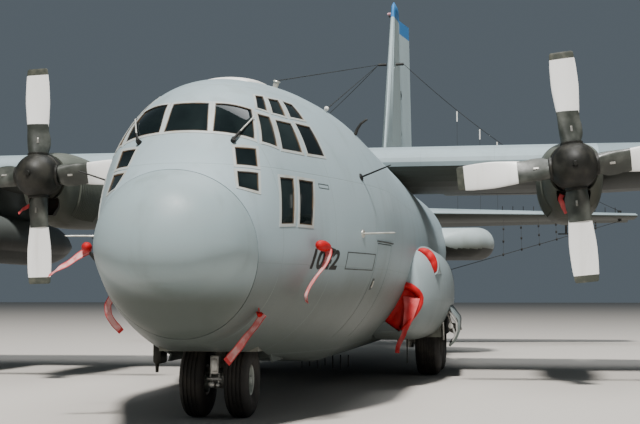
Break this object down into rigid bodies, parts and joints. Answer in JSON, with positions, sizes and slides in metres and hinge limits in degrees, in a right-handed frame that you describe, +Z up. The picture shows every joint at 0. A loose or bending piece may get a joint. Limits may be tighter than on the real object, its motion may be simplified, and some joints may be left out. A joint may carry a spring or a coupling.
{
  "type": "military transport plane, scale model at 1:2",
  "caption": "High-winged military transport plane with propellers, a hollow cargo hold, a rear ramp and hinged controls, parked on its landing gear; scale model at one to two.",
  "frame": {"origin": "middle of the bounding box in X and Y, on the ground under the tyres", "axes": "+Z up, nose towards -Y, +X to the plane's own left side (port)"},
  "size_m": [20.205, 14.896, 5.83],
  "materials": {
    "paint": "satin",
    "radome": "satin",
    "glass": "clear",
    "cabin": "matte",
    "deck": "satin",
    "propeller": "satin",
    "tyre": "matte",
    "rim": "satin",
    "strut": "satin",
    "engine": "satin"
  },
  "bodies": {
    "airframe": {"radome": "radome", "forward_fuselage": "paint", "flight_deck_glass": "glass", "flight_deck": "cabin", "jump_door_port": "paint", "jump_door_starboard": "paint", "centre_fuselage": "paint", "cargo_floor": "deck", "aft_fuselage": "paint", "centre_wing": "paint", "outer_wing_port": "paint", "outer_wing_starboard": "paint", "stabiliser": "paint", "fin": "paint", "nacelle_inner_port": "paint", "engine_inner_port": "engine", "nacelle_inner_starboard": "paint", "engine_inner_starboard": "engine", "nacelle_outer_port": "paint", "engine_outer_port": "engine", "nacelle_outer_starboard": "paint", "engine_outer_starboard": "engine", "sponson_port": "paint", "sponson_starboard": "paint", "blister_port": "radome", "blister_starboard": "radome", "wing_tank_port": "paint", "wing_tank_starboard": "paint", "main_leg_port": "strut", "main_leg_starboard": "strut", "nose_leg": "strut"},
    "crew_door": {"crew_door": "paint"},
    "cargo_ramp": {"cargo_ramp": "paint"},
    "aft_cargo_door": {"aft_cargo_door": "paint"},
    "rudder": {"rudder": "paint"},
    "nose_fork": {"nose_fork": "strut"},
    "nose_wheels": {"nose_wheels": "rim", "nose_tyre_port": "tyre", "nose_tyre_starboard": "tyre"},
    "aileron_port": {"aileron_port": "paint"},
    "elevator_port": {"elevator_port": "paint"},
    "inner_flap_port": {"inner_flap_port": "paint"},
    "outer_flap_port": {"outer_flap_port": "paint"},
    "main_wheel_port_front": {"main_tyre_port_front": "tyre", "main_wheel_port_front": "rim"},
    "main_wheel_port_rear": {"main_tyre_port_rear": "tyre", "main_wheel_port_rear": "rim"},
    "aileron_starboard": {"aileron_starboard": "paint"},
    "elevator_starboard": {"elevator_starboard": "paint"},
    "inner_flap_starboard": {"inner_flap_starboard": "paint"},
    "outer_flap_starboard": {"outer_flap_starboard": "paint"},
    "main_wheel_starboard_front": {"main_tyre_starboard_front": "tyre", "main_wheel_starboard_front": "rim"},
    "main_wheel_starboard_rear": {"main_tyre_starboard_rear": "tyre", "main_wheel_starboard_rear": "rim"},
    "propeller_inner_port": {"propeller_inner_port": "propeller"},
    "propeller_inner_starboard": {"propeller_inner_starboard": "propeller"},
    "propeller_outer_port": {"propeller_outer_port": "propeller"},
    "propeller_outer_starboard": {"propeller_outer_starboard": "propeller"}
  },
  "joints": [
    {"name": "crew_door_hinge", "type": "hinge", "parent": "airframe", "child": "crew_door", "pos_m": [0.76265, -5.24, 0.5154], "axis": [0, 1, 0], "range_deg": [0, 98]},
    {"name": "cargo_ramp_hinge", "type": "hinge", "parent": "airframe", "child": "cargo_ramp", "pos_m": [0, 1.3729, 0.4], "axis": [-1, 0, 0], "range_deg": [0, 27]},
    {"name": "aft_cargo_door_hinge", "type": "hinge", "parent": "airframe", "child": "aft_cargo_door", "pos_m": [0, 4.7175, 1.7], "axis": [-1, 0, 0], "range_deg": [0, 24]},
    {"name": "rudder_hinge", "type": "hinge", "parent": "airframe", "child": "rudder", "pos_m": [0, 6.3275, 4.08], "axis": [0, 0, 1], "range_deg": [-19, 51]},
    {"name": "aileron_hinge_port", "type": "hinge", "parent": "airframe", "child": "aileron_port", "pos_m": [8.05, -0.47664, 2.23857], "axis": [-0.9969, 0.0754, -0.0231], "range_deg": [-25, 15]},
    {"name": "aileron_hinge_starboard", "type": "hinge", "parent": "airframe", "child": "aileron_starboard", "pos_m": [-8.05, -0.47664, 2.23857], "axis": [-0.9969, -0.0754, 0.0231], "range_deg": [-25, 15]},
    {"name": "elevator_hinge_port", "type": "hinge", "parent": "airframe", "child": "elevator_port", "pos_m": [2.1175, 6.93896, 2.15444], "axis": [-0.9999, -0.0159, 0.005], "range_deg": [-52, 3]},
    {"name": "elevator_hinge_starboard", "type": "hinge", "parent": "airframe", "child": "elevator_starboard", "pos_m": [-2.1175, 6.93896, 2.15444], "axis": [-0.9999, 0.0159, -0.005], "range_deg": [-52, 3]},
    {"name": "inner_flap_track_port", "type": "hinge", "parent": "airframe", "child": "inner_flap_port", "pos_m": [1.9725, -0.19686, 1.80266], "axis": [-1, 0, 0], "range_deg": [0, 35]},
    {"name": "inner_flap_track_starboard", "type": "hinge", "parent": "airframe", "child": "inner_flap_starboard", "pos_m": [-1.9725, -0.19686, 1.80266], "axis": [-1, 0, 0], "range_deg": [0, 35]},
    {"name": "outer_flap_track_port", "type": "hinge", "parent": "airframe", "child": "outer_flap_port", "pos_m": [4.535, -0.31315, 1.84805], "axis": [-0.9974, 0.0669, -0.0261], "range_deg": [0, 35]},
    {"name": "outer_flap_track_starboard", "type": "hinge", "parent": "airframe", "child": "outer_flap_starboard", "pos_m": [-4.535, -0.31315, 1.84805], "axis": [-0.9974, -0.0669, 0.0261], "range_deg": [0, 35]},
    {"name": "nose_steering", "type": "hinge", "parent": "airframe", "child": "nose_fork", "pos_m": [0, -5.9175, 0.2475], "axis": [0, 0, 1], "range_deg": [-60, 60]},
    {"name": "nose_wheels_spin", "type": "hinge", "parent": "nose_fork", "child": "nose_wheels", "pos_m": [0, -5.9175, 0.2475], "axis": [1, 0, 0], "continuous": true},
    {"name": "main_wheel_spin_port_front", "type": "hinge", "parent": "airframe", "child": "main_wheel_port_front", "pos_m": [1.085, -1.4225, 0.355], "axis": [1, 0, 0], "continuous": true},
    {"name": "main_wheel_spin_port_rear", "type": "hinge", "parent": "airframe", "child": "main_wheel_port_rear", "pos_m": [1.085, -0.6625, 0.355], "axis": [1, 0, 0], "continuous": true},
    {"name": "main_wheel_spin_starboard_front", "type": "hinge", "parent": "airframe", "child": "main_wheel_starboard_front", "pos_m": [-1.085, -1.4225, 0.355], "axis": [1, 0, 0], "continuous": true},
    {"name": "main_wheel_spin_starboard_rear", "type": "hinge", "parent": "airframe", "child": "main_wheel_starboard_rear", "pos_m": [-1.085, -0.6625, 0.355], "axis": [1, 0, 0], "continuous": true},
    {"name": "propeller_spin_inner_port", "type": "hinge", "parent": "airframe", "child": "propeller_inner_port", "pos_m": [2.49, -3.1375, 1.95], "axis": [0, 1, 0], "continuous": true},
    {"name": "propeller_spin_inner_starboard", "type": "hinge", "parent": "airframe", "child": "propeller_inner_starboard", "pos_m": [-2.49, -3.1375, 1.95], "axis": [0, 1, 0], "continuous": true},
    {"name": "propeller_spin_outer_port", "type": "hinge", "parent": "airframe", "child": "propeller_outer_port", "pos_m": [4.985, -3.1375, 1.96], "axis": [0, 1, 0], "continuous": true},
    {"name": "propeller_spin_outer_starboard", "type": "hinge", "parent": "airframe", "child": "propeller_outer_starboard", "pos_m": [-4.985, -3.1375, 1.96], "axis": [0, 1, 0], "continuous": true}
  ],
  "couplings": [
    {"joint": "elevator_hinge_starboard", "follows": "elevator_hinge_port", "ratio": 1},
    {"joint": "inner_flap_track_starboard", "follows": "inner_flap_track_port", "ratio": 1},
    {"joint": "outer_flap_track_port", "follows": "inner_flap_track_port", "ratio": 1},
    {"joint": "outer_flap_track_starboard", "follows": "inner_flap_track_port", "ratio": 1}
  ]
}
